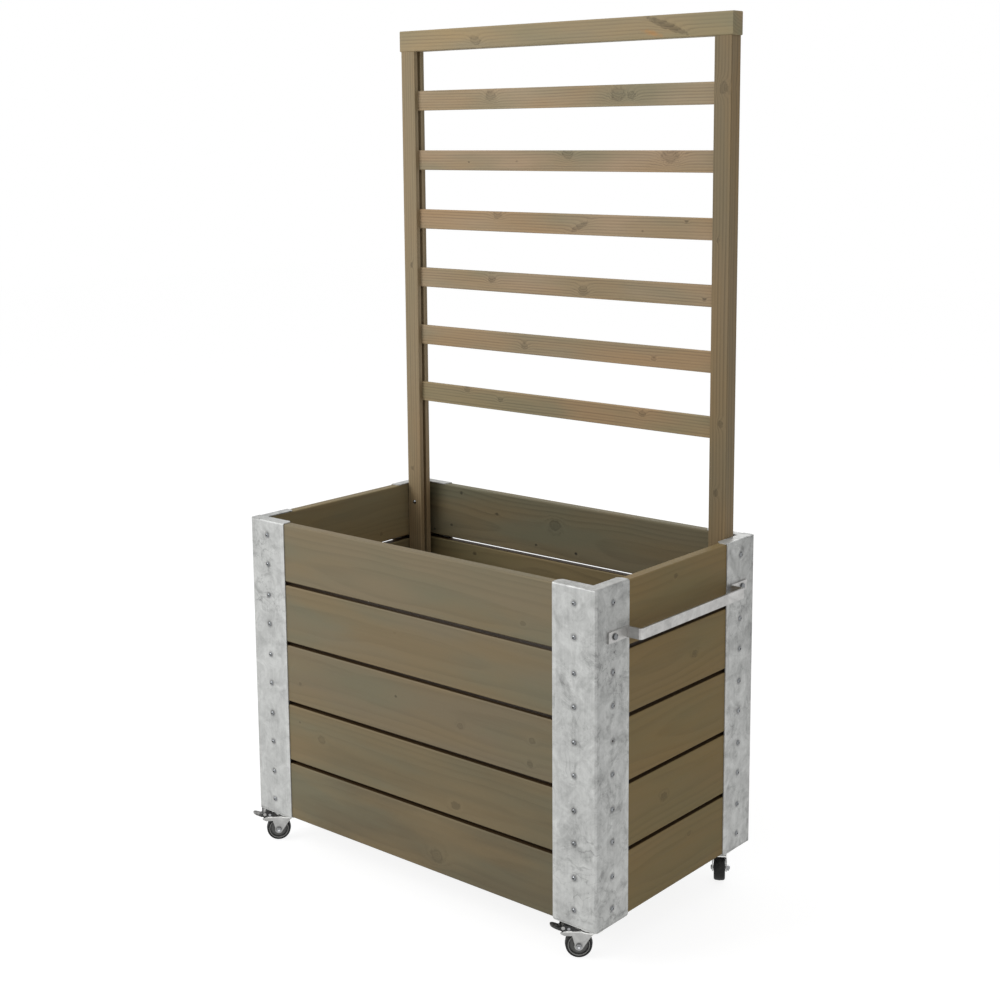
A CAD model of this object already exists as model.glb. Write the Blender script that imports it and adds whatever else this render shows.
import math
import bpy
import bmesh
from mathutils import Matrix, Vector


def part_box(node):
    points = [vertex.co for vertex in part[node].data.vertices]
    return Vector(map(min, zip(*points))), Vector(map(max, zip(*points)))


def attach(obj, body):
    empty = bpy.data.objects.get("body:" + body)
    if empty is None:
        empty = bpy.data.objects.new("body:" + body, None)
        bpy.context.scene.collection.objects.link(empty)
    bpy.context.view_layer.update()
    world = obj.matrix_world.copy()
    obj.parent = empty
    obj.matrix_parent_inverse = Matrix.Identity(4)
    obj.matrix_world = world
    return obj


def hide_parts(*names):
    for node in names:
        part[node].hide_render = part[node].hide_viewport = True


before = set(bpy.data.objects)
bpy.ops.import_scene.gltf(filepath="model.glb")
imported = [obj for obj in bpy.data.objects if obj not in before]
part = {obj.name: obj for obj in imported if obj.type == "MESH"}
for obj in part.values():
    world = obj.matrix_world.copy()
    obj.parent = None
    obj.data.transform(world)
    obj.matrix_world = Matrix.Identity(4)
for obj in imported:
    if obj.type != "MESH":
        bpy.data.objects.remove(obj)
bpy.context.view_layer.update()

# ---------- The view ----------
# The planter stands a little below eye level and is seen past its right front corner. Every
# place in this script is counted from the middle of the four corner posts, on the floor.
post_boxes = [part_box(n) for n in part if n.startswith("corner_post")]
low = Vector(map(min, *[b[0] for b in post_boxes]))
high = Vector(map(max, *[b[1] for b in post_boxes]))
middle = Vector(((low.x + high.x) / 2, (low.y + high.y) / 2, 0))
half_x, half_y = high.x - middle.x, high.y - middle.y

# Turned left by yaw, tilted down by pitch and rolled by roll, in radians; the eye is 1.45 m above the floor
yaw, pitch, roll = 0.7027, 0.1604, -0.0077
eye = middle + Vector((2.04359, -2.39709, 1.45255))
ahead = Vector((-math.cos(pitch) * math.sin(yaw), math.cos(pitch) * math.cos(yaw), -math.sin(pitch)))
side = ahead.cross(Vector((0, 0, 1))).normalized()
over = side.cross(ahead)
right = math.cos(roll) * side + math.sin(roll) * over
up = math.cos(roll) * over - math.sin(roll) * side
lens_data = bpy.data.cameras.new("camera")
lens_data.sensor_width = 36
lens_data.lens = 58.81644
lens_data.shift_y = -0.10
lens_data.clip_end = 60
camera = bpy.data.objects.new("camera", lens_data)
camera.matrix_world = Matrix((
    (right.x, up.x, -ahead.x, eye.x),
    (right.y, up.y, -ahead.y, eye.y),
    (right.z, up.z, -ahead.z, eye.z),
    (0, 0, 0, 1)))
bpy.context.scene.collection.objects.link(camera)
bpy.context.scene.camera = camera
bpy.context.scene.view_settings.view_transform = "Standard"


# ---------- The room: pale floor, white surroundings, soft lamps ----------
# A wide soft lamp stands in front on the left, a much weaker one low on the right and one behind.
# What the camera and polished metal see behind the planter is plain white; the floor keeps the shadow.
def linear(colour):
    """sRGB hex such as "#83765c" as a linear colour."""
    parts = [int(colour[i:i + 2], 16) / 255 for i in (1, 3, 5)]
    return [c / 12.92 if c <= 0.04045 else ((c + 0.055) / 1.055) ** 2.4 for c in parts] + [1.0]


def feed(tree, node, fed):
    """Fills a node's inputs, by name or number, with values, outputs or nodes, whose first output in use is
    then taken."""
    for name, value in fed.items():
        if isinstance(value, bpy.types.Node):
            value = next(output for output in value.outputs if output.enabled)
        if isinstance(value, bpy.types.NodeSocket):
            tree.links.new(value, node.inputs[name])
        else:
            node.inputs[name].default_value = value


def put(tree, kind, fed=None, **settings):
    """Adds one node: settings are its properties, and fed is what feed puts into its inputs."""
    made = tree.nodes.new(kind)
    for name, value in settings.items():
        setattr(made, name, value)
    feed(tree, made, fed or {})
    return made


def seen_directly(tree):
    """1 for what the camera sees, also by way of polished metal, and 0 for light that falls on things."""
    path = put(tree, "ShaderNodeLightPath")
    seen = path.outputs["Is Camera Ray"]
    for ray in ("Is Glossy Ray", "Is Transmission Ray"):
        seen = put(tree, "ShaderNodeMath", {0: seen, 1: path.outputs[ray]}, operation="MAXIMUM")
    return seen


world = bpy.data.worlds.new("room")
bpy.context.scene.world = world
world.use_nodes = True
sky = world.node_tree
sky.nodes.clear()
strength = put(sky, "ShaderNodeMapRange", {"Value": seen_directly(sky), "To Min": 0.53, "To Max": 1.0})
glow = put(sky, "ShaderNodeBackground", {"Color": (1, 1, 1, 1), "Strength": strength})
put(sky, "ShaderNodeOutputWorld", {"Surface": glow})

# Each lamp's name, place, watts and width
lamps = (("key lamp", (-2.1, -3.0, 2.8), 92, 2.4), ("fill lamp", (2.6, -0.4, 0.35), 3, 1.2),
         ("back lamp", (-0.8, 3.6, 2.2), 30, 2.4))
for name, place, watts, size in lamps:
    lamp_data = bpy.data.lights.new(name, "AREA")
    lamp_data.energy, lamp_data.size = watts, size
    lamp = bpy.data.objects.new(name, lamp_data)
    lamp.location = place
    lamp.rotation_euler = (Vector((0, 0, 0.7)) - lamp.location).to_track_quat("-Z", "Y").to_euler()
    bpy.context.scene.collection.objects.link(lamp)

floor_mesh = bpy.data.meshes.new("floor")
# Half the floor's width, in metres
floor_half = 12
corners = [(x * floor_half, y * floor_half, 0) for x, y in ((-1, -1), (1, -1), (1, 1), (-1, 1))]
floor_mesh.from_pydata(corners, [], [(0, 1, 2, 3)])
floor = bpy.data.objects.new("floor", floor_mesh)
bpy.context.scene.collection.objects.link(floor)
painted = bpy.data.materials.new("pale painted floor")
painted.use_nodes = True
tree = painted.node_tree
tree.nodes.clear()
matt = put(tree, "ShaderNodeBsdfDiffuse", {"Color": (0.7, 0.7, 0.7, 1)})
shaded = put(tree, "ShaderNodeBsdfDiffuse", {"Color": (0.24, 0.24, 0.24, 1)})
white = put(tree, "ShaderNodeEmission", {"Color": (1, 1, 1, 1), "Strength": 0.87})
shown = put(tree, "ShaderNodeAddShader", {0: shaded, 1: white})
mixed = put(tree, "ShaderNodeMixShader", {0: seen_directly(tree), 1: matt, 2: shown})
put(tree, "ShaderNodeOutputMaterial", {"Surface": mixed})
floor_mesh.materials.append(painted)


# ---------- Corner posts: folded sheet steel ----------
# Four posts of 2 mm sheet, folded to an angle with a rim over the planks, then dipped in molten
# zinc. The zinc sets matt and cloudy, runs a little downwards, and stays lighter on folds and edges.
wing = 0.096
# The planks' pitch and the middle of the lowest one; a screw stands above and one below each middle
plank_pitch, lowest_plank = 0.125, 0.131
row_off_middle, screws_off_fold = 0.03025, 0.048


def finish_of(material, name):
    """Gives a node of the model its material."""
    mesh = part[name].data
    mesh.materials.clear()
    mesh.materials.append(material)


def surface_tree(name):
    """A new material with its tree and shader, and the place on the planter in metres."""
    made = bpy.data.materials.new(name)
    made.use_nodes = True
    tree = made.node_tree
    tree.nodes.clear()
    shader = put(tree, "ShaderNodeBsdfPrincipled")
    put(tree, "ShaderNodeOutputMaterial", {"Surface": shader})
    place = put(tree, "ShaderNodeTexCoord")
    moved = put(tree, "ShaderNodeMapping", {"Vector": place.outputs["Object"], "Location": -middle})
    return made, tree, shader, moved


def cover(tree, shader, colour, noise, rough, height, bumps, more):
    """Feeds a shader its colour, a roughness between two values that follows a noise, bumps by height with
    their strength and depth, and more inputs."""
    matt = put(tree, "ShaderNodeMapRange",
               {"Value": noise, "From Min": 0.3, "From Max": 0.7, "To Min": rough[0], "To Max": rough[1]})
    bump = put(tree, "ShaderNodeBump", {"Height": height, "Strength": bumps[0], "Distance": bumps[1]})
    feed(tree, shader, {"Base Color": colour, "Roughness": matt, "Normal": bump, **more})


def dipped_zinc(name, colour, dull, seed, shine=0.45, rough=(0.58, 0.40), worn=None):
    """Zinc-coated steel: clouds, runs, stains, scratches and specks, which seed moves. dull is how dark the
    stains are, shine how metallic it is, rough the roughness of its dark and of its bright clouds, and worn
    adds light and dirt by place."""
    made, tree, shader, place = surface_tree(name)
    at = put(tree, "ShaderNodeVectorMath", {0: place, 1: (seed * 1.7, seed * 2.3, seed)}, operation="ADD")
    # Clouds of 34 mm, weathered stains of 50 mm with ragged rims, regions of 150 mm, slow bends of 70 mm,
    # and the grit of the dipped skin, drawn as coarse as 1.5 mm so that it shows
    cloud, stain, region, bent, grit = [
        put(tree, "ShaderNodeTexNoise",
            {"Vector": at, "Scale": 1 / size, "Detail": detail, "Roughness": ragged, "Distortion": swirl})
        for size, detail, ragged, swirl in (
            (0.034, 6.0, 0.66, 0.8), (0.050, 9.0, 0.78, 1.4), (0.15, 2.0, 0.5, 0.0), (0.07, 3.0, 0.4, 0.6),
            (0.0015, 2.0, 0.5, 0.0))]
    # Zinc crystals of about 5 mm
    spangle = put(tree, "ShaderNodeTexVoronoi", {"Vector": at, "Scale": 1 / 0.005, "Randomness": 1.0})
    # Runs: 4 mm across, 80 mm long
    tall = put(tree, "ShaderNodeVectorMath",
               {0: at, 1: (1 / 0.004, 1 / 0.004, 1 / 0.08)}, operation="MULTIPLY")
    runs = put(tree, "ShaderNodeTexNoise", {"Vector": tall, "Scale": 1.0, "Detail": 4.0, "Roughness": 0.6})
    # Stains and specks lie in some places only
    stained = put(tree, "ShaderNodeMapRange", {"Value": stain, "From Min": 0.50, "From Max": 0.62})
    patchy = put(tree, "ShaderNodeMapRange",
                 {"Value": region, "From Min": 0.42, "From Max": 0.60, "To Min": 0.3, "To Max": 1.3})
    stained = put(tree, "ShaderNodeMath", {0: stained, 1: patchy}, operation="MULTIPLY")
    # Long curved scratches: where the slow bends cross their middle value, in some places only
    crossing = put(tree, "ShaderNodeMath", {0: bent, 1: 0.5}, operation="SUBTRACT")
    crossing = put(tree, "ShaderNodeMath", {0: crossing}, operation="ABSOLUTE")
    scratch = put(tree, "ShaderNodeMapRange", {"Value": crossing, "From Min": 0.0052, "From Max": 0.0018})
    scraped = put(tree, "ShaderNodeMapRange", {"Value": region, "From Min": 0.50, "From Max": 0.58})
    scratch = put(tree, "ShaderNodeMath", {0: scratch, 1: scraped}, operation="MULTIPLY")
    # Specks of 2 mm, one in every 15 mm or so
    speck = put(tree, "ShaderNodeTexVoronoi", {"Vector": at, "Scale": 1 / 0.015, "Randomness": 1.0})
    speck = put(tree, "ShaderNodeMapRange",
                {"Value": speck.outputs["Distance"], "From Min": 0.11, "From Max": 0.05})
    speck = put(tree, "ShaderNodeMath", {0: speck, 1: patchy}, operation="MULTIPLY")
    tone = put(tree, "ShaderNodeMapRange",
               {"Value": cloud, "From Min": 0.3, "From Max": 0.7, "To Min": 0.675, "To Max": 1.095})
    for share, weight in ((spangle.outputs["Color"], 0.08), (runs, 0.26), (stained, -dull), (scratch, -dull),
                          (speck, -0.9 * dull)):
        tone = put(tree, "ShaderNodeMath", {0: share, 1: weight, 2: tone}, operation="MULTIPLY_ADD")
    if worn:
        tone = put(tree, "ShaderNodeMath", {0: worn(tree, place), 1: tone}, operation="ADD")
    colour = put(tree, "ShaderNodeVectorMath", {0: linear(colour)[:3], "Scale": tone}, operation="SCALE")
    height = put(tree, "ShaderNodeMath", {0: grit, 1: 0.4, 2: cloud}, operation="MULTIPLY_ADD")
    cover(tree, shader, colour, cloud, rough, height, (0.3, 0.0006), {"Metallic": shine})
    return made


def changed(tree, tone, changes):
    """Adds to a tone. A change is a value, where along it the change begins and is full, and its size."""
    for value, begin, full, size in changes:
        change = put(tree, "ShaderNodeMapRange",
                     {"Value": value, "From Min": begin, "From Max": full, "To Max": size})
        tone = put(tree, "ShaderNodeMath", {0: tone, 1: change}, operation="ADD")
    return tone


def folds_of_post(tree, place):
    """Light on a post's folds and in an 8 mm band along each wing's free edge, grime round each screw."""
    apart = put(tree, "ShaderNodeSeparateXYZ", {0: place})
    depth = []
    for axis, half in (("X", half_x), ("Y", half_y)):
        size = put(tree, "ShaderNodeMath", {0: apart.outputs[axis]}, operation="ABSOLUTE")
        depth.append(put(tree, "ShaderNodeMath", {0: half, 1: size}, operation="SUBTRACT"))
    inward = put(tree, "ShaderNodeMath", {0: depth[0], 1: depth[1]}, operation="MAXIMUM")
    # How far a place is from the next screw: height off its row, and distance off its column
    row = put(tree, "ShaderNodeMath", {0: apart.outputs["Z"], 1: lowest_plank}, operation="SUBTRACT")
    row = put(tree, "ShaderNodeMath", {0: row, 1: -plank_pitch / 2, 2: plank_pitch / 2}, operation="WRAP")
    row = put(tree, "ShaderNodeMath", {0: row}, operation="ABSOLUTE")
    row = put(tree, "ShaderNodeMath", {0: row, 1: row_off_middle}, operation="SUBTRACT")
    column = put(tree, "ShaderNodeMath", {0: inward, 1: screws_off_fold}, operation="SUBTRACT")
    off = put(tree, "ShaderNodeCombineXYZ", {0: row, 1: column})
    off = put(tree, "ShaderNodeVectorMath", {0: off}, operation="LENGTH")
    # The wings on the handle's end are darker and blotchy, most towards the top and beside the fold
    facing_end = put(tree, "ShaderNodeMath",
                     {0: apart.outputs["X"], 1: half_x - 0.0035}, operation="GREATER_THAN")
    blotch = put(tree, "ShaderNodeTexNoise",
                 {"Vector": place, "Scale": 1 / 0.028, "Detail": 8.0, "Roughness": 0.74, "Distortion": 0.5})
    worn = changed(tree, -0.02, (
        (apart.outputs["Z"], 0.25, 0.66, -0.15), (inward, 0.030, 0.006, -0.08), (blotch, 0.53, 0.62, -0.24)))
    worn = put(tree, "ShaderNodeMath", {0: worn, 1: facing_end}, operation="MULTIPLY")
    # The wings' free edges, the folds, the top edge and the screws
    return changed(tree, worn, (
        (inward, wing - 0.0098, wing - 0.0080, 0.08), (inward, 0.0042, 0.0020, 0.16),
        (apart.outputs["Z"], high.z - 0.0034, high.z - 0.0012, -0.12), (off, 0.0090, 0.0050, -0.40)))


galvanised = dipped_zinc("hot-dip galvanised sheet", "#babbb9", 0.26, 0.0, worn=folds_of_post)
for name in part:
    if name.startswith("corner_post"):
        finish_of(galvanised, name)


# ---------- Timber walls ----------
# Planed softwood planks, impregnated and stained, five to a side with open gaps. The stain is
# uneven: greyer where the wood took the green salt, warmer where it did not, and paler where the
# eased edges have been rubbed.
def group_of(name, vectors, floats, results):
    """A new shader group with named inputs, vectors and plain numbers, and with the numbers it gives back."""
    group = bpy.data.node_groups.new(name, "ShaderNodeTree")
    for labels, way, kind in ((vectors, "INPUT", "NodeSocketVector"), (floats, "INPUT", "NodeSocketFloat"),
                              (results, "OUTPUT", "NodeSocketFloat")):
        for label in labels:
            group.interface.new_socket(label, in_out=way, socket_type=kind)
    return group, put(group, "NodeGroupInput"), put(group, "NodeGroupOutput")


# A knot: the grain is pushed round it, its heart is darker, and its rim darkest
knot_group, given, handed = group_of(
    "knot", ("Board", "At", "Stretch"), ("Radius", "Dark", "Slant"), ("Push", "Heart", "Rim"))
tree = knot_group
board, radius = given.outputs["Board"], given.outputs["Radius"]
from_knot = put(tree, "ShaderNodeVectorMath", {0: board, 1: given.outputs["At"]}, operation="SUBTRACT")
from_knot = put(tree, "ShaderNodeVectorRotate",
                {"Vector": from_knot, "Angle": given.outputs["Slant"]}, rotation_type="Z_AXIS")
from_knot = put(tree, "ShaderNodeVectorMath",
                {0: from_knot, 1: given.outputs["Stretch"]}, operation="MULTIPLY")
crooked = put(tree, "ShaderNodeTexNoise",
              {"Vector": board, "Scale": 1 / 0.008, "Detail": 3.0, "Roughness": 0.6})
away = put(tree, "ShaderNodeVectorMath", {0: from_knot}, operation="LENGTH")
away = put(tree, "ShaderNodeMath", {0: away, 1: radius}, operation="DIVIDE")
away = put(tree, "ShaderNodeMath", {0: crooked, 1: 1.5, 2: away}, operation="MULTIPLY_ADD")
away = put(tree, "ShaderNodeMath", {0: away, 1: 0.75}, operation="SUBTRACT")
# The push dies away with the square of the distance
spread = put(tree, "ShaderNodeMath", {0: away, 1: away}, operation="MULTIPLY")
spread = put(tree, "ShaderNodeMath", {0: spread, 1: -0.42}, operation="MULTIPLY")
spread = put(tree, "ShaderNodeMath", {0: spread}, operation="EXPONENT")
push = put(tree, "ShaderNodeMath", {0: spread, 1: radius}, operation="MULTIPLY")
push = put(tree, "ShaderNodeMath", {0: push, 1: 1.5}, operation="MULTIPLY")
heart = put(tree, "ShaderNodeMapRange", {"Value": away, "From Min": 1.2, "From Max": 0.3})
heart = put(tree, "ShaderNodeMath", {0: heart, 1: given.outputs["Dark"]}, operation="MULTIPLY")
# Two dark rings: its bark at the rim, and a fainter one halfway
rim = 0.0
for where, wide, dark in ((0.95, 0.34, 0.24), (0.5, 0.20, 0.10)):
    ring = put(tree, "ShaderNodeMath", {0: away, 1: where}, operation="SUBTRACT")
    ring = put(tree, "ShaderNodeMath", {0: ring}, operation="ABSOLUTE")
    ring = put(tree, "ShaderNodeMapRange",
               {"Value": ring, "From Min": wide, "From Max": 0.0, "To Max": dark})
    rim = put(tree, "ShaderNodeMath", {0: rim, 1: ring}, operation="MAXIMUM")
feed(tree, handed, {"Push": push, "Heart": heart, "Rim": rim})

# Grain: yearly rings about a pith beside or behind the board, fibres, streaks and patches of stain
grain_group, given, handed = group_of(
    "sawn grain", ("Board", "Pith", "Wander"), ("Push", "Ring"),
    ("Late Wood", "Fibre", "Streak", "Patch", "Warm"))
tree = grain_group
board = given.outputs["Board"]
# The board drawn together lengthwise and crosswise: for the wandering rings, fibres, streaks and patches
slow, fine, long, broad = [
    put(tree, "ShaderNodeVectorMath",
        {0: board, 1: (1 / length, 1 / width, 1 / width)}, operation="MULTIPLY")
    for length, width in ((0.60, 0.20), (0.07, 0.0016), (0.30, 0.007), (0.32, 0.08))]
wander = put(tree, "ShaderNodeTexNoise", {"Vector": slow, "Scale": 1.0, "Detail": 2.0, "Roughness": 0.5})
wander = put(tree, "ShaderNodeVectorMath",
             {0: wander.outputs["Color"], 1: (0.5, 0.5, 0.5)}, operation="SUBTRACT")
wander = put(tree, "ShaderNodeVectorMath", {0: wander, 1: given.outputs["Wander"]}, operation="MULTIPLY")
radial = put(tree, "ShaderNodeVectorMath", {0: board, 1: (0.0, 1.0, 1.0)}, operation="MULTIPLY")
radial = put(tree, "ShaderNodeVectorMath", {0: radial, 1: given.outputs["Pith"]}, operation="SUBTRACT")
radial = put(tree, "ShaderNodeVectorMath", {0: radial, 1: wander}, operation="ADD")
age = put(tree, "ShaderNodeVectorMath", {0: radial}, operation="LENGTH")
age = put(tree, "ShaderNodeMath", {0: age, 1: given.outputs["Push"]}, operation="SUBTRACT")
age = put(tree, "ShaderNodeMath", {0: age, 1: given.outputs["Ring"]}, operation="DIVIDE")
year = put(tree, "ShaderNodeMath", {0: age}, operation="FRACT")
rise = put(tree, "ShaderNodeMapRange",
           {"Value": year, "From Min": 0.30, "From Max": 0.86}, interpolation_type="SMOOTHSTEP")
fall = put(tree, "ShaderNodeMapRange",
           {"Value": year, "From Min": 1.0, "From Max": 0.88}, interpolation_type="SMOOTHSTEP")
late = put(tree, "ShaderNodeMath", {0: rise, 1: fall}, operation="MULTIPLY")
fibre = put(tree, "ShaderNodeTexNoise", {"Vector": fine, "Scale": 1.0, "Detail": 3.0, "Roughness": 0.6})
streak = put(tree, "ShaderNodeTexNoise", {"Vector": long, "Scale": 1.0, "Detail": 3.0, "Roughness": 0.6})
# No two rings are as dark, and each fades along the board
uneven = put(tree, "ShaderNodeMapRange",
             {"Value": streak, "From Min": 0.34, "From Max": 0.62, "To Min": 0.25, "To Max": 1.5})
late = put(tree, "ShaderNodeMath", {0: late, 1: uneven}, operation="MULTIPLY")
patch = put(tree, "ShaderNodeTexNoise", {"Vector": broad, "Scale": 1.0, "Detail": 3.0, "Roughness": 0.45})
other = put(tree, "ShaderNodeVectorMath", {0: broad, 1: (7.3, 2.1, 4.9)}, operation="ADD")
warm = put(tree, "ShaderNodeTexNoise", {"Vector": other, "Scale": 1.1, "Detail": 3.0, "Roughness": 0.45})
feed(tree, handed, {"Late Wood": late, "Fibre": fibre, "Streak": streak, "Patch": patch, "Warm": warm})

# For each way a board lies: which axes run along its grain, across its face and through it
axes_of = {"X": (0, 2, 1), "Y": (1, 2, 0), "Z": (2, 0, 1), "flat Y": (1, 0, 2)}


def stained_softwood(name, along, colour, pith, ring, contrast, knots=(), seed=0.0,
                     grey="#79745d", warm="#88744f", wander=0.03, fibre=0.12, most=0.7,
                     fade=0.0, inner=None, resin=(), seams=0, step=None):
    """Planed and stained softwood. along is the grain's axis. pith is where the tree's middle lies behind the
    board, ring the distance between rings, and wander how far these stray. contrast is how dark the late wood
    is, fibre how much the fibres show, and seed moves the grain. grey and warm are the patches' colours, and
    most how grey or warm these get. knots are (along, across, radius, dark) in mm, with a stretch and a slant
    where one was cut lengthwise, and resin is a streak like a knot that shows orange. fade is how much
    lighter the stain gets per metre along. inner is the side on which the box's inside lies and how much
    lighter or darker the wood is there. seams is 1 for a top plank and 2 for one that lies under another.
    step is the distance between like boards in one node, each with its own grain."""
    made, tree, shader, place = surface_tree("stained softwood " + name)
    low_end, high_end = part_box(name)
    centre = (low_end + high_end) / 2 - middle
    apart = put(tree, "ShaderNodeVectorMath", {0: place, 1: centre}, operation="SUBTRACT")
    apart = put(tree, "ShaderNodeSeparateXYZ", {0: apart})
    order = axes_of[along]
    run, across, deep = [apart.outputs[i] for i in order]
    if step:
        number = put(tree, "ShaderNodeMath", {0: across, 1: step}, operation="DIVIDE")
        number = put(tree, "ShaderNodeMath", {0: number}, operation="FLOOR")
        run = put(tree, "ShaderNodeMath", {0: number, 1: 0.73, 2: run}, operation="MULTIPLY_ADD")
        shift = put(tree, "ShaderNodeMath", {0: number, 1: -step, 2: across}, operation="MULTIPLY_ADD")
        across = put(tree, "ShaderNodeMath", {0: shift, 1: step / 2}, operation="SUBTRACT")
    board = put(tree, "ShaderNodeCombineXYZ", {0: run, 1: across, 2: deep})
    push, heart, rim, orange = 0.0, 0.0, 0.0, 0.0
    for at, side_way, radius, dark, *cut in tuple(knots) + tuple(resin):
        stretch, slant = cut or (1.3, 0.0)
        knot = put(tree, "ShaderNodeGroup", node_tree=knot_group)
        feed(tree, knot, {"Board": board, "At": (at / 1000, side_way / 1000, 0), "Radius": radius / 1000,
                          "Dark": dark, "Stretch": (1 / stretch, 1.0, 0.0), "Slant": math.radians(slant)})
        if (at, side_way, radius, dark, *cut) in resin:
            orange = knot.outputs["Heart"]
            continue
        push = put(tree, "ShaderNodeMath", {0: push, 1: knot.outputs["Push"]}, operation="ADD")
        heart = put(tree, "ShaderNodeMath", {0: heart, 1: knot.outputs["Heart"]}, operation="MAXIMUM")
        rim = put(tree, "ShaderNodeMath", {0: rim, 1: knot.outputs["Rim"]}, operation="MAXIMUM")
    shifted = put(tree, "ShaderNodeVectorMath", {0: board, 1: (seed * 3.1, 0, 0)}, operation="ADD")
    grain = put(tree, "ShaderNodeGroup", node_tree=grain_group)
    feed(tree, grain, {"Board": shifted, "Pith": (0, pith[0], pith[1]), "Push": push, "Ring": ring,
                       "Wander": (0, wander, wander)})
    # Grey and warm patches; a Mix node's inputs 6 and 7 are its two colours
    tint = linear(colour)
    for label, start, end, other in (("Patch", 0.40, 0.64, grey), ("Warm", 0.44, 0.68, warm)):
        share = put(tree, "ShaderNodeMapRange",
                    {"Value": grain.outputs[label], "From Min": start, "From Max": end, "To Max": most})
        tint = put(tree, "ShaderNodeMix", {0: share, 6: tint, 7: linear(other)}, data_type="RGBA")
    if resin:
        tint = put(tree, "ShaderNodeMix", {0: orange, 6: tint, 7: linear("#ab8455")}, data_type="RGBA")
    tone = 0.965 + contrast * 0.35 - fibre / 2
    for share, weight in ((grain.outputs["Late Wood"], -contrast), (grain.outputs["Fibre"], fibre),
                          (grain.outputs["Streak"], 0.07), (run, fade)):
        tone = put(tree, "ShaderNodeMath", {0: share, 1: weight, 2: tone}, operation="MULTIPLY_ADD")
    if inner:
        tone = changed(tree, tone, ((deep, 0.0, 0.008 * inner[0], inner[1]),))
    if knots:
        for shade in (heart, rim):
            tone = put(tree, "ShaderNodeMath", {0: tone, 1: shade}, operation="SUBTRACT")
    if not step:
        # Rubbed edges: within 4 mm of the board's long edges
        half = (high_end - low_end)[order[1]] / 2
        edge = put(tree, "ShaderNodeMath", {0: across}, operation="ABSOLUTE")
        tone = changed(tree, tone, ((edge, half - 0.004, half - 0.001, 0.10),))
    if seams:
        # Brown dirt in the gaps: on the underside and the last 2 mm above it, and on a covered top
        dirt = put(tree, "ShaderNodeMapRange",
                   {"Value": across, "From Min": 0.0024 - half, "From Max": 0.0008 - half})
        if seams == 2:
            covered = put(tree, "ShaderNodeMapRange",
                          {"Value": across, "From Min": half - 0.0005, "From Max": half - 0.0001})
            dirt = put(tree, "ShaderNodeMath", {0: dirt, 1: covered}, operation="MAXIMUM")
        tint = put(tree, "ShaderNodeMix", {0: dirt, 6: tint, 7: linear("#3b2a12")}, data_type="RGBA")
    colour = put(tree, "ShaderNodeVectorMath", {0: tint, "Scale": tone}, operation="SCALE")
    height = put(tree, "ShaderNodeMath", {0: grain.outputs["Late Wood"], 1: 0.5, 2: grain.outputs["Fibre"]},
                 operation="MULTIPLY_ADD")
    cover(tree, shader, colour, grain.outputs["Fibre"], (0.60, 0.74), height, (0.3, 0.0004),
          {"Specular IOR Level": 0.3})
    finish_of(made, name)


# From the top plank down: colours, knots, and how much the stain differs on the inside
front_tones = ("#7d7159", "#7a6f58", "#786c55", "#71664d", "#695f49")
front_knots = (
    ((275, -28, 4.0, 0.15),),
    ((-40, 18, 2.0, 0.10),),
    ((-40, 18, 2.4, 0.45), (-307, -15, 3.0, 0.3), (290, -36, 5.0, 0.16), (123, -3, 5.0, 0.16),
     (295, 10, 5.0, 0.10)),
    ((110, -36, 7.0, 0.30), (-249, 6, 7.0, 0.14), (-311, 28, 2.0, 0.4)),
    ((60, -25, 11.0, 0.10),))
rear_knots = (
    ((-295, 46, 3.2, 0.6), (-192, 13, 3.2, 0.55), (-32, 13, 10.0, 0.16), (-325, -30, 2.8, 0.7),
     (-376, -47, 2.6, 0.7), (-84, -38, 2.6, 0.7), (23, -40, 3.0, 0.8)),
    ((-258, 41, 4.0, 0.5),), (), ((120, 10, 6.0, 0.3),), ())
right_knots = (
    ((-11, 35, 4.0, 0.35),), ((53, -2, 6.0, 0.22),), (), ((-44, 1, 7.0, 0.20),), ((40, 25, 4.0, 0.15),))
rear_tones = [("#7a6a48", "#6e674b") if i == 1 else ("#766c54", "#6d6b55") for i in range(5)]
rear_inside = (-0.14, 0.0, -0.2, -0.3, -0.3)
left_knots = (((99, -39, 4.0, 0.4),), (), (), (), ())
left_inside = (0.40, 0.0, 0.0, 0.0, 0.0)
for i in range(5):
    seams = 2 if i else 1
    stained_softwood(f"front_plank_{i + 1}", "X", front_tones[i], (0.02 * (i % 3 - 1), 0.09), 0.006, 0.07,
                     front_knots[i], 1.0 + i, grey="#726e58", warm="#7f6e50", wander=0.024,
                     fade=-0.06 * i, seams=seams)
    stained_softwood(f"rear_plank_{i + 1}", "X", rear_tones[i][0], (-0.02 + 0.02 * i, -0.09), 0.007, 0.12,
                     rear_knots[i], 11.0 + i, grey=rear_tones[i][1], warm="#7c6c4d", wander=0.05,
                     inner=(-1, rear_inside[i]), seams=seams)
    stained_softwood(f"left_plank_{i + 1}", "Y", "#7d6d4f", (0.03 - 0.015 * i, 0.08), 0.006, 0.10,
                     left_knots[i], 21.0 + i, grey="#706b55", warm="#7d6d4d", wander=0.04,
                     inner=(1, left_inside[i]), seams=seams)
    stained_softwood(f"right_plank_{i + 1}", "Y", "#7e6b46", (0.02 * (i % 2), -0.09), 0.006, 0.08,
                     right_knots[i], 31.0 + i, grey="#746946", warm="#826c43", wander=0.03, seams=seams)


# ---------- Floor of the box ----------
# Two bearers stand on the posts' bottom plates and carry loose boards, all of the same stained
# softwood, rougher than the walls because nobody sees them.
stained_softwood("floor_bearers", "X", "#6f644a", (0.02, -0.05), 0.005, 0.16, seed=41.0)
stained_softwood("floor_boards", "flat Y", "#6f644a", (0.01, -0.06), 0.005, 0.16, seed=42.0, step=0.103)


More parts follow.
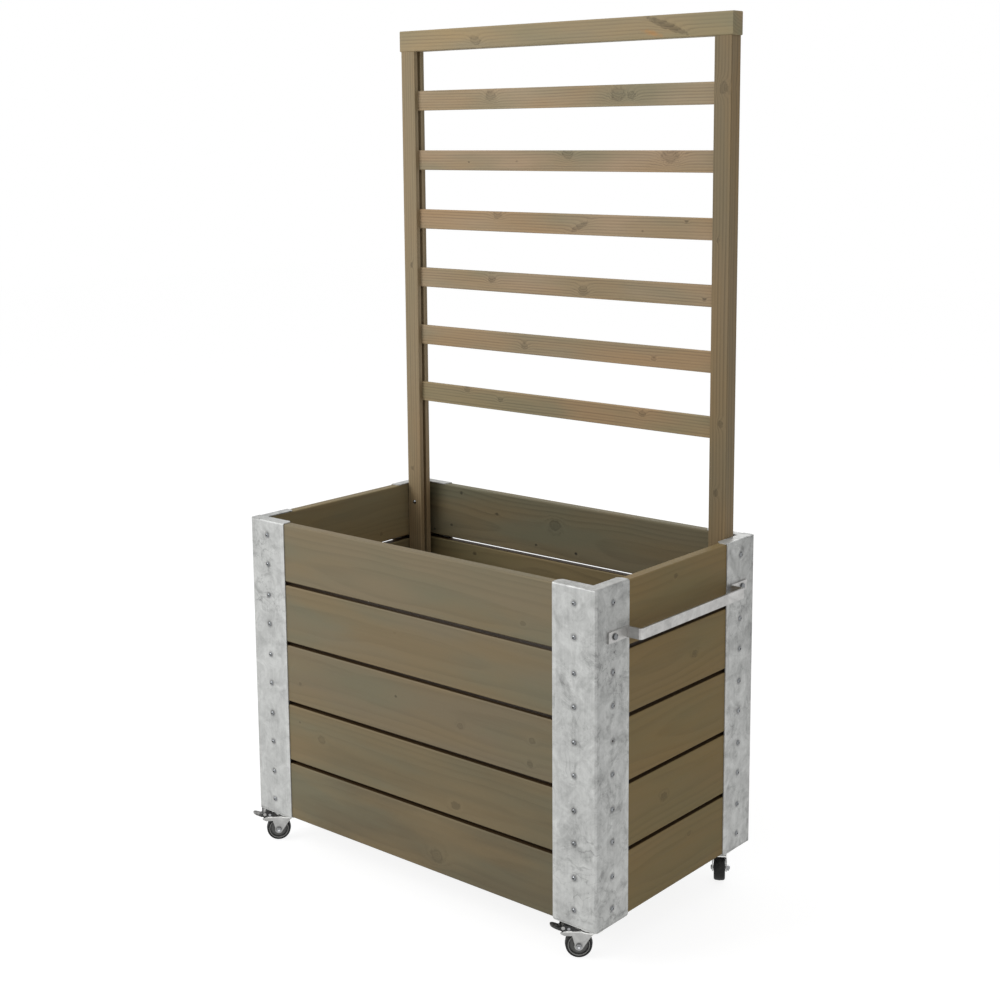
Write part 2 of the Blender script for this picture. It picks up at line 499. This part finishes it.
# ---------- Trellis ----------
# Two grooved uprights, six thin slats let into the grooves and a top rail over both, of the same
# stained softwood with straight close grain, drawn 6 mm apart so that it shows. It takes the light
# full on and reads paler than the box.
stained_softwood("trellis_upright_left", "Z", "#8f7e62", (0.07, 0.03), 0.0056, 0.20,
                 ((300, 2, 4.0, 0.3), (-150, -6, 3.5, 0.25)), 51.0,
                 grey="#847a5f", warm="#967d5c", wander=0.010, fibre=0.16)
stained_softwood("trellis_upright_right", "Z", "#7f6e53", (0.06, 0.03), 0.0056, 0.22,
                 ((659, 2, 8.0, 0.16), (35, 5, 5.0, 0.3), (-98, -3, 5.0, 0.3), (380, -5, 3.0, 0.2)), 52.0,
                 grey="#776c53", warm="#87704d", wander=0.010, fibre=0.16)
stained_softwood("trellis_top_rail", "X", "#94866a", (0.07, 0.02), 0.0060, 0.15,
                 ((-202, -6, 7.0, 0.14, 2.0, 20), (272, 1, 6.0, 0.45, 7.0, 20)), 53.0, grey="#858062",
                 warm="#a58c64", wander=0.016, fibre=0.16, resin=((238, -11, 5.5, 0.9, 4.5, 14),))
slat_tones = ("#a18f74", "#a28c71", "#a28c70", "#a08b70", "#99876c", "#8f8060")
slat_knots = (
    ((-171, 6, 9.0, 0.16), (152, 2, 12.0, 0.14), (184, 0, 7.0, 0.16)),
    ((-233, -3, 2.4, 0.5), (-103, -1, 2.0, 0.3), (29, 15, 10.0, 0.16), (274, 11, 13.0, 0.16)),
    ((-155, 15, 8.0, 0.14), (57, -4, 5.0, 0.30, 4.5, -24), (312, 13, 3.0, 0.35), (211, -8, 2.0, 0.45)),
    ((-172, 5, 7.0, 0.26), (67, -5, 9.0, 0.18), (354, -7, 3.0, 0.35)),
    ((-85, -4, 6.0, 0.22), (240, -4, 4.0, 0.2)),
    ((-244, 17, 6.0, 0.22), (-151, 3, 5.0, 0.24), (214, 10, 5.5, 0.25)))
for i in range(6):
    stained_softwood(f"trellis_slat_{i + 1}", "X", slat_tones[i], (0.075, 0.012 * (i % 3)), 0.0056, 0.22,
                     slat_knots[i], 61.0 + i, grey="#857d63", warm="#a08462", wander=0.014,
                     fibre=0.26, most=0.85)


# ---------- Screws ----------
# Bright zinc-plated pan-head screws with a six-lobed recess: two in each end of each plank on both
# wings of a post, four through the uprights into the rear wall and two down through the top rail.
def dark_recess(tree, place):
    """Dirt in the recess of a screw's head, where the nodes below have marked it."""
    marked = put(tree, "ShaderNodeAttribute", attribute_name="recess")
    return put(tree, "ShaderNodeMath", {0: marked.outputs["Fac"], 1: -0.85}, operation="MULTIPLY")


# The plate is thin and smooth, so it mirrors like steel and is nearly without clouds
bright_zinc = dipped_zinc("bright zinc plate", "#7c7e80", 0.10, 3.0, shine=0.9, rough=(0.28, 0.18),
                          worn=dark_recess)
# Heights of the rows of screws, from the top down
rows = [lowest_plank + plank_pitch * plank + side * row_off_middle
        for plank in (4, 3, 2, 1, 0) for side in (1, -1)]
# The screws' lengths below their heads, and where they stand on the uprights and the rail
post_shank, upright_shank, rail_shank = 0.019, 0.059, 0.077
upright_middle, upright_front = 0.3945, 0.186
rail_screw_x, rail_screw_y, rail_screw_z = 0.40083, 0.2015, 1.6702
# Each screw's place, the way its head faces, and its length
screw_places = []
for sx in (-1, 1):
    for sy in (-1, 1):
        for i, z in enumerate(rows):
            at = (sx * (half_x - screws_off_fold), sy * half_y, z)
            screw_places.append((at, (0, sy, 0), post_shank))
            # The handle's bolt takes the second place on the right, and one hole there is empty
            if not (sx > 0 and (i == 1 or (i == 4 and sy < 0))):
                at = (sx * half_x, sy * (half_y - screws_off_fold), z)
                screw_places.append((at, (sx, 0, 0), post_shank))
    for z in (rows[0] - 0.010, rows[5] + 0.010):
        screw_places.append(((sx * upright_middle, upright_front, z), (0, -1, 0), upright_shank))
    screw_places.append(((sx * rail_screw_x, rail_screw_y, rail_screw_z), (0, 0, 1), rail_shank))

points = bpy.data.meshes.new("screw places")
points.from_pydata([Vector(at) + middle for at, out, length in screw_places], [], [])
facing = points.attributes.new("facing", "FLOAT_VECTOR", "POINT")
facing.data.foreach_set("vector", [c for at, out, length in screw_places for c in out])
shank_length = points.attributes.new("shank length", "FLOAT", "POINT")
shank_length.data.foreach_set("value", [length for at, out, length in screw_places])

drive = bpy.data.node_groups.new("pan-head screws", "GeometryNodeTree")
sizes = ("Head Radius", "Head Height", "Recess Radius", "Recess Depth", "Shank Radius")
for label, kind in (("Places", "NodeSocketGeometry"), *[(size, "NodeSocketFloat") for size in sizes],
                    ("Seed", "NodeSocketInt"), ("Finish", "NodeSocketMaterial")):
    drive.interface.new_socket(label, in_out="INPUT", socket_type=kind)
drive.interface.new_socket("Screws", in_out="OUTPUT", socket_type="NodeSocketGeometry")
given, handed = put(drive, "NodeGroupInput"), put(drive, "NodeGroupOutput")


def lifted(mesh, height):
    """Moves one part of the screw along its axis."""
    height = put(drive, "ShaderNodeCombineXYZ", {"Z": height})
    return put(drive, "GeometryNodeTransform", {"Geometry": mesh, "Translation": height})


head_r, head_h = given.outputs["Head Radius"], given.outputs["Head Height"]
recess_r, recess_h = given.outputs["Recess Radius"], given.outputs["Recess Depth"]
# Shares of the screw's named sizes, for its rings
shares = (("Head Radius", 0.92), ("Head Radius", 0.68), ("Head Height", 0.34), ("Head Height", 0.36),
          ("Head Height", 0.30), ("Head Height", 0.70), ("Recess Radius", 0.60), ("Recess Radius", 1.02))
share_of = {}
for size, share in shares:
    share_of[size, share] = put(drive, "ShaderNodeMath",
                                {0: given.outputs[size], 1: share}, operation="MULTIPLY")
# The head's rim, shoulder and crown: start, height, lower radius, upper radius
head_rings = (
    (0.0, share_of["Head Height", 0.34], head_r, share_of["Head Radius", 0.92]),
    (share_of["Head Height", 0.34], share_of["Head Height", 0.36], share_of["Head Radius", 0.92],
     share_of["Head Radius", 0.68]),
    (share_of["Head Height", 0.70], share_of["Head Height", 0.30], share_of["Head Radius", 0.68], recess_r))
# Twelve points round the head, of which every other one makes a lobe of the recess
head_sides = 12
pieces = []
for base, tall, wide, narrow in head_rings:
    ring = put(drive, "GeometryNodeMeshCone", {"Vertices": head_sides, "Radius Top": narrow,
                                               "Radius Bottom": wide, "Depth": tall}, fill_type="NONE")
    pieces.append(lifted(ring, base))
# The recess: a tapered hole and its floor
hole = put(drive, "GeometryNodeMeshCone",
           {"Vertices": head_sides, "Radius Top": recess_r, "Radius Bottom": share_of["Recess Radius", 0.60],
            "Depth": recess_h}, fill_type="NONE")
hole = put(drive, "GeometryNodeFlipFaces", {"Mesh": hole})
disc = put(drive, "GeometryNodeMeshCircle",
           {"Vertices": head_sides, "Radius": share_of["Recess Radius", 0.60]}, fill_type="TRIANGLE_FAN")
bottom = put(drive, "ShaderNodeMath", {0: head_h, 1: recess_h}, operation="SUBTRACT")
# Both are marked, for the dirt in them
for mesh in (hole, disc):
    pieces.append(put(drive, "GeometryNodeStoreNamedAttribute",
                      {"Geometry": lifted(mesh, bottom), "Name": "recess", "Value": 1.0},
                      data_type="FLOAT", domain="FACE"))
under = put(drive, "GeometryNodeMeshCircle",
            {"Vertices": head_sides, "Radius": head_r}, fill_type="TRIANGLE_FAN")
under = put(drive, "GeometryNodeFlipFaces", {"Mesh": under})
pieces.append(under)
joined = put(drive, "GeometryNodeJoinGeometry")
for piece in reversed(pieces):
    feed(drive, joined, {0: piece})
head = put(drive, "GeometryNodeMergeByDistance", {"Geometry": joined, "Distance": 0.00002})
# Six lobes: every other point of the recess stands further in
spot = put(drive, "GeometryNodeInputPosition")
flat = put(drive, "ShaderNodeVectorMath", {0: spot, 1: (1, 1, 0)}, operation="MULTIPLY")
flat = put(drive, "ShaderNodeVectorMath", {0: flat}, operation="LENGTH")
limit = put(drive, "ShaderNodeMath", {0: flat, 1: share_of["Recess Radius", 1.02]}, operation="LESS_THAN")
apart = put(drive, "ShaderNodeSeparateXYZ", {0: spot})
angle = put(drive, "ShaderNodeMath", {0: apart.outputs["Y"], 1: apart.outputs["X"]}, operation="ARCTAN2")
wave = put(drive, "ShaderNodeMath", {0: angle, 1: 6.0}, operation="MULTIPLY")
wave = put(drive, "ShaderNodeMath", {0: wave}, operation="COSINE")
between = put(drive, "ShaderNodeMath", {0: wave, 1: 0.0}, operation="LESS_THAN")
lobes = put(drive, "ShaderNodeMath", {0: limit, 1: between}, operation="MULTIPLY")
inner = put(drive, "ShaderNodeVectorMath", {0: spot, 1: (0.68, 0.68, 1)}, operation="MULTIPLY")
head = put(drive, "GeometryNodeSetPosition", {"Geometry": head, "Selection": lobes, "Position": inner})
# Round surfaces shade smoothly, edges sharper than 35 degrees stay crisp
head = put(drive, "GeometryNodeSetShadeSmooth", {"Geometry": head, "Shade Smooth": True})
bend = put(drive, "GeometryNodeInputMeshEdgeAngle")
crisp = put(drive, "ShaderNodeMath",
            {0: bend.outputs["Unsigned Angle"], 1: math.radians(35)}, operation="GREATER_THAN")
head = put(drive, "GeometryNodeSetShadeSmooth",
           {"Geometry": head, "Selection": crisp, "Shade Smooth": False}, domain="EDGE")
# The shank: a rod of unit length that each place stretches to its own
shank = put(drive, "GeometryNodeMeshCylinder",
            {"Vertices": 8, "Radius": given.outputs["Shank Radius"], "Depth": 1.0}, fill_type="NGON")
shank = lifted(shank, -0.5)
turned = put(drive, "GeometryNodeInputNamedAttribute", {"Name": "facing"}, data_type="FLOAT_VECTOR")
along = put(drive, "GeometryNodeInputNamedAttribute", {"Name": "shank length"}, data_type="FLOAT")
spin = put(drive, "FunctionNodeRandomValue",
           {2: 0.0, 3: 2 * math.pi, "Seed": given.outputs["Seed"]}, data_type="FLOAT")
spin = put(drive, "FunctionNodeAxisAngleToRotation", {"Axis": (0, 0, 1), "Angle": spin})
outward = put(drive, "FunctionNodeAlignRotationToVector", {"Vector": turned}, axis="Z")
both = put(drive, "FunctionNodeRotateRotation", {0: outward, 1: spin}, rotation_space="LOCAL")
stretch = put(drive, "ShaderNodeCombineXYZ", {0: 1.0, 1: 1.0, 2: along})
heads = put(drive, "GeometryNodeInstanceOnPoints",
            {"Points": given.outputs["Places"], "Instance": head, "Rotation": both})
rods = put(drive, "GeometryNodeInstanceOnPoints",
           {"Points": given.outputs["Places"], "Instance": shank, "Rotation": both, "Scale": stretch})
joined = put(drive, "GeometryNodeJoinGeometry")
for piece in (heads, rods):
    feed(drive, joined, {0: piece})
real = put(drive, "GeometryNodeRealizeInstances", {"Geometry": joined})
dressed = put(drive, "GeometryNodeSetMaterial", {"Geometry": real, "Material": given.outputs["Finish"]})
feed(drive, handed, {0: dressed})


def made_by_nodes(name, mesh, group, sizes):
    """Runs a Geometry Nodes tree on a mesh and gives an object with the plain mesh that comes out."""
    made = bpy.data.objects.new(name, mesh)
    bpy.context.scene.collection.objects.link(made)
    nodes = made.modifiers.new(name, "NODES")
    nodes.node_group = group
    for socket in group.interface.items_tree:
        if socket.in_out == "INPUT" and socket.name in sizes:
            nodes[socket.identifier] = sizes[socket.name]
    plain = bpy.data.meshes.new_from_object(made.evaluated_get(bpy.context.evaluated_depsgraph_get()))
    made.modifiers.clear()
    made.data = plain
    plain.name = name
    return made


screws = made_by_nodes("pan_head_screws", points, drive, {
    "Head Radius": 0.0045, "Head Height": 0.0028, "Recess Radius": 0.0018, "Recess Depth": 0.0014,
    "Shank Radius": 0.002, "Seed": 4, "Finish": bright_zinc})
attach(screws, "planter")
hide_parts("screws_and_bolts")


# ---------- Hexagon bolts ----------
# Two short hexagon bolts hold the handle to the posts. Each caster hangs on a longer one that
# stands up through its kingpin and the post's bottom plate, with a washer and a nut inside the box.
def hexagon(base, across, height):
    """Rings of a hexagon with its top corners chamfered: height and radius at its corners, then its flats."""
    corner, top = across / 2 / math.cos(math.pi / 6), base + height
    return [(base, corner, base, across / 2),
            (top - 0.075 * across, corner, top - 0.01 * across, across / 2),
            (top, 0.46 * across, top, 0.46 * across)]


def rod(base, radius, height):
    """Rings of a round rod with a small chamfer at its far end."""
    ends = [(base, radius), (base + height - 0.15 * radius, radius), (base + height, 0.85 * radius)]
    return [(z, r, z, r) for z, r in ends]


def skin(bm, at, out, rings):
    """Skins rings of 24 points, in mm, about the line from at along out, and closes both ends."""
    around = 24
    turn = Vector(out).to_track_quat("Z", "Y")
    levels = []
    for corner_z, corner_r, flat_z, flat_r in rings:
        level = []
        for i in range(around):
            # 1 at a hexagon's six corners and 0 at the middles of its flats
            share = abs((i % 4) - 2) / 2
            angle = i * 2 * math.pi / around
            r = 1 / (share / corner_r + (1 - share) / flat_r)
            z = share * corner_z + (1 - share) * flat_z
            spot = Vector((r * math.cos(angle), r * math.sin(angle), z)) / 1000
            level.append(bm.verts.new(turn @ spot + Vector(at) + middle))
        levels.append(level)
    for lower, upper in zip(levels, levels[1:]):
        for i in range(around):
            following = (i + 1) % around
            bm.faces.new((lower[i], lower[following], upper[following], upper[i]))
    bm.faces.new(list(reversed(levels[0])))
    bm.faces.new(levels[-1])


# The handle's bar and bolts, in mm: width over flats and height of the heads, radius in the bar, and
# radius and length in the wood
bar_thick, bar_bolt_across, bar_bolt_head, bar_bolt_r = 4, 10, 3.6, 3
wood_bolt_r, wood_bolt_long = 2, 18
# The casters' bolts, in mm: width over flats, heights of head and nut, shank and washer
bolt_across, head_tall, nut_tall, bolt_r, bolt_long = 13, 3.2, 6.5, 4, 34
washer_r, washer_thick = 7.4, 1.6
# In metres above the floor: the heads' upper side, and the feet of the shanks, washers and nuts
head_top, shank_foot, washer_foot, nut_foot = 0.0502, 0.050, 0.072, 0.0736
caster_inset = 0.042
kingpins = {f"{end}_{hand}": (sx * (half_x - caster_inset), sy * (half_y - caster_inset))
            for end, sy in (("front", -1), ("rear", 1)) for hand, sx in (("left", -1), ("right", 1))}
washer = [(0, washer_r, 0, washer_r), (washer_thick - 0.3, washer_r, washer_thick - 0.3, washer_r),
          (washer_thick, washer_r - 0.3, washer_thick, washer_r - 0.3)]
bm = bmesh.new()
for sy in (-1, 1):
    at = (half_x, sy * (half_y - screws_off_fold), rows[1])
    skin(bm, at, (1, 0, 0), hexagon(bar_thick, bar_bolt_across, bar_bolt_head))
    skin(bm, at, (1, 0, 0), rod(0, bar_bolt_r, bar_thick))
    skin(bm, at, (-1, 0, 0), rod(0, wood_bolt_r, wood_bolt_long))
for x, y in kingpins.values():
    skin(bm, (x, y, head_top), (0, 0, -1), hexagon(0, bolt_across, head_tall))
    skin(bm, (x, y, shank_foot), (0, 0, 1), rod(0, bolt_r, bolt_long))
    skin(bm, (x, y, washer_foot), (0, 0, 1), washer)
    skin(bm, (x, y, nut_foot), (0, 0, 1), hexagon(0, bolt_across, nut_tall))
for edge in bm.edges:
    if len(edge.link_faces) == 2 and edge.calc_face_angle() > math.radians(20):
        edge.smooth = False
for face in bm.faces:
    face.smooth = True
bolt_mesh = bpy.data.meshes.new("hexagon_bolts")
bm.to_mesh(bolt_mesh)
bm.free()
bolt_mesh.materials.append(bright_zinc)
bolts = bpy.data.objects.new("hexagon_bolts", bolt_mesh)
bpy.context.scene.collection.objects.link(bolts)
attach(bolts, "planter")
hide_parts("screws_and_bolts")


# ---------- Handle ----------
# Flat steel bar, 20 x 4 mm, bent into a wide bracket and zinc-plated. Smoother and brighter than
# the posts, with a little of the timber's brown mirrored in it.
def grime_at_bolts(tree, place):
    """Dark dirt in a ring round each of the handle's two bolt heads."""
    folded = put(tree, "ShaderNodeVectorMath", {0: place}, operation="ABSOLUTE")
    off = put(tree, "ShaderNodeVectorMath",
              {0: folded, 1: (0, half_y - screws_off_fold, rows[1])}, operation="SUBTRACT")
    off = put(tree, "ShaderNodeVectorMath", {0: off, 1: (0, 1, 1)}, operation="MULTIPLY")
    off = put(tree, "ShaderNodeVectorMath", {0: off}, operation="LENGTH")
    return changed(tree, 0.0, ((off, 0.0085, 0.0058, -0.45),))


finish_of(dipped_zinc("zinc-plated flat bar", "#b4b3b1", 0.14, 7.0, shine=0.8, rough=(0.42, 0.30),
                      worn=grime_at_bolts), "handle_bar")


# ---------- Casters: swivel heads, balls, forks and axles ----------
# Swivel casters pressed from zinc-plated sheet: a cup and a fork with balls between them, on a
# hollow riveted kingpin, and a bolted axle. The plate is brighter and smoother than the posts' zinc.
axle_trail, axle_height, bend_height = 0.022, 0.025, 0.0532
# Which way each caster points, in degrees from +X
headings = {"front_left": 228, "front_right": 219, "rear_left": 138, "rear_right": 303}


def about_line(tree, place, corner, reach, height):
    """How far a place is from the line across a caster that lies reach out from its kingpin and height up."""
    turn = math.radians(headings[corner])
    on_line = Vector((*kingpins[corner], height)) + reach * Vector((math.cos(turn), math.sin(turn), 0))
    across = Vector((-math.sin(turn), math.cos(turn), 0))
    off = put(tree, "ShaderNodeVectorMath", {0: place, 1: on_line}, operation="SUBTRACT")
    beside = put(tree, "ShaderNodeVectorMath", {0: off, 1: across}, operation="DOT_PRODUCT")
    parallel = put(tree, "ShaderNodeVectorMath", {0: across, "Scale": beside}, operation="SCALE")
    square = put(tree, "ShaderNodeVectorMath", {0: off, 1: parallel}, operation="SUBTRACT")
    return put(tree, "ShaderNodeVectorMath", {0: square}, operation="LENGTH")


def off_axle(tree, place):
    """Distance from the nearest wheel's axle line."""
    off = 1.0
    for corner in kingpins:
        here = about_line(tree, place, corner, axle_trail, axle_height)
        off = put(tree, "ShaderNodeMath", {0: here, 1: off}, operation="MINIMUM")
    return off


def used_fork(tree, place):
    """The bend along a fork's top is rubbed bright, and dirt sits round the axle."""
    apart = put(tree, "ShaderNodeSeparateXYZ", {0: place})
    off = put(tree, "ShaderNodeMath", {0: apart.outputs["Z"], 1: bend_height}, operation="SUBTRACT")
    off = put(tree, "ShaderNodeMath", {0: off}, operation="ABSOLUTE")
    return changed(tree, 0.0, ((off, 0.0026, 0.0012, 0.95), (off_axle(tree, place), 0.0085, 0.0055, -0.34)))


def used_axle(tree, place):
    """An axle's ends are rubbed bright in the middle and dull towards the rim."""
    return changed(tree, -0.36, ((off_axle(tree, place), 0.0024, 0.0014, 0.91),))


# Pressed sheet keeps soft clouds; turned parts are smoother and mirror more
pressed_steel = dipped_zinc("zinc-plated pressed steel", "#b3b3b1", 0.14, 5.0, shine=0.75,
                            rough=(0.42, 0.28), worn=used_fork)
turned_steel = dipped_zinc("turned and zinc-plated steel", "#b5b6b8", 0.08, 9.0, shine=0.9,
                           rough=(0.34, 0.22), worn=used_axle)
# The balls are polished, so they mirror sharply, under a film of brown grease
made, tree, shader, place = surface_tree("polished bearing steel")
wear = put(tree, "ShaderNodeTexNoise", {"Vector": place, "Scale": 1 / 0.0012, "Detail": 3.0})
grease = put(tree, "ShaderNodeTexNoise", {"Vector": place, "Scale": 1 / 0.004, "Detail": 3.0})
shade = put(tree, "ShaderNodeMix", {0: grease, 6: linear("#c8c9ca"), 7: linear("#8f8c84")}, data_type="RGBA")
cover(tree, shader, shade, wear, (0.12, 0.30), wear, (0.1, 0.0001), {"Metallic": 1.0})
finish_of(made, "swivel_balls")
for name in part:
    if name.endswith(("_fork", "_swivel_head")):
        finish_of(pressed_steel, name)
    if name.endswith(("_axle", "_axle_pins")):
        finish_of(turned_steel, name)


# ---------- Casters: wheels ----------
# Each wheel is a moulded grey plastic hub with a black rubber tyre pressed onto it. The hub's lip
# stands bare beside the tyre as a lighter ring; the tyre is matt, dusty on the tread and ringed
# with faint mould lines.

# Radii of the tyre's tread, and of the hub's lip and the groove inside it
tread_r, lip_r, groove_r = 0.0246, 0.0180, 0.0140
for corner in kingpins:
    made, tree, shader, place = surface_tree("black rubber " + corner)
    radius = about_line(tree, place, corner, axle_trail, axle_height)
    # Mould lines 1.4 mm apart on the sides
    lines = put(tree, "ShaderNodeMath", {0: radius, 1: 2 * math.pi / 0.0014}, operation="MULTIPLY")
    lines = put(tree, "ShaderNodeMath", {0: lines}, operation="SINE")
    scuff = put(tree, "ShaderNodeTexNoise",
                {"Vector": place, "Scale": 1 / 0.006, "Detail": 5.0, "Roughness": 0.7})
    grain = put(tree, "ShaderNodeTexNoise", {"Vector": place, "Scale": 1 / 0.0008, "Detail": 2.0})
    tread = put(tree, "ShaderNodeMapRange",
                {"Value": radius, "From Min": tread_r - 0.0014, "From Max": tread_r})
    dust = put(tree, "ShaderNodeMapRange",
               {"Value": scuff, "From Min": 0.42, "From Max": 0.66, "To Max": 0.55})
    dust = put(tree, "ShaderNodeMath", {0: dust, 1: tread}, operation="MULTIPLY")
    worn = put(tree, "ShaderNodeMapRange",
               {"Value": scuff, "From Min": 0.55, "From Max": 0.75, "To Max": 0.22})
    worn = put(tree, "ShaderNodeMath", {0: dust, 1: worn}, operation="MAXIMUM")
    shade = put(tree, "ShaderNodeMix",
                {0: worn, 6: linear("#161616"), 7: linear("#44423d")}, data_type="RGBA")
    height = put(tree, "ShaderNodeMath", {0: lines, 1: 0.12, 2: grain}, operation="MULTIPLY_ADD")
    cover(tree, shader, shade, scuff, (0.50, 0.72), height, (0.4, 0.0002), {"Specular IOR Level": 0.3})
    finish_of(made, corner + "_tyre")

    made, tree, shader, place = surface_tree("moulded grey plastic " + corner)
    radius = about_line(tree, place, corner, axle_trail, axle_height)
    cloud = put(tree, "ShaderNodeTexNoise",
                {"Vector": place, "Scale": 1 / 0.007, "Detail": 4.0, "Roughness": 0.6})
    grain = put(tree, "ShaderNodeTexNoise", {"Vector": place, "Scale": 1 / 0.0007, "Detail": 2.0})
    lip = put(tree, "ShaderNodeMapRange", {"Value": radius, "From Min": lip_r, "From Max": lip_r + 0.0006})
    groove = put(tree, "ShaderNodeMapRange", {"Value": radius, "From Min": groove_r, "From Max": lip_r})
    shade = put(tree, "ShaderNodeMix",
                {0: groove, 6: linear("#6c6c6a"), 7: linear("#3c3c3b")}, data_type="RGBA")
    shade = put(tree, "ShaderNodeMix", {0: lip, 6: shade, 7: linear("#a3a3a0")}, data_type="RGBA")
    tone = put(tree, "ShaderNodeMapRange",
               {"Value": cloud, "From Min": 0.3, "From Max": 0.7, "To Min": 0.86, "To Max": 1.12})
    shade = put(tree, "ShaderNodeVectorMath", {0: shade, "Scale": tone}, operation="SCALE")
    cover(tree, shader, shade, cloud, (0.40, 0.55), grain, (0.3, 0.0001), {})
    finish_of(made, corner + "_hub")


# ---------- Brake pedals ----------
# The two front casters have a stamped and black-enamelled lever over the wheel. It turns on a pin,
# carries a bright rolled eyelet, and its tip is rubbed grey by shoes.

# How far out from the kingpin the eyelet is, and how high it and the pin are
eyelet_reach, eyelet_height, pin_height = 0.0502, 0.0606, 0.0596
for corner, wear in (("front_left", 0.95), ("front_right", 0.35)):
    made, tree, shader, place = surface_tree("black enamelled steel " + corner)
    eyelet = about_line(tree, place, corner, eyelet_reach, eyelet_height)
    kingpin_off = about_line(tree, place, corner, 0.0, pin_height)
    mottle = put(tree, "ShaderNodeTexNoise",
                 {"Vector": place, "Scale": 1 / 0.005, "Detail": 5.0, "Roughness": 0.7})
    orange_peel = put(tree, "ShaderNodeTexNoise", {"Vector": place, "Scale": 1 / 0.0009, "Detail": 1.0})
    tip = put(tree, "ShaderNodeMapRange",
              {"Value": kingpin_off, "From Min": 0.056, "From Max": 0.062, "To Max": wear})
    rubbed = put(tree, "ShaderNodeMapRange", {"Value": mottle, "From Min": 0.38, "From Max": 0.58})
    rubbed = put(tree, "ShaderNodeMath", {0: rubbed, 1: tip}, operation="MULTIPLY")
    shade = put(tree, "ShaderNodeMix",
                {0: rubbed, 6: linear("#191919"), 7: linear("#a3a29f")}, data_type="RGBA")
    bare = put(tree, "ShaderNodeMath", {0: eyelet, 1: 0.0033}, operation="LESS_THAN")
    shade = put(tree, "ShaderNodeMix", {0: bare, 6: shade, 7: linear("#a9a9a7")}, data_type="RGBA")
    cover(tree, shader, shade, mottle, (0.28, 0.48), orange_peel, (0.2, 0.0002), {"Metallic": bare})
    finish_of(made, corner + "_brake_pedal")
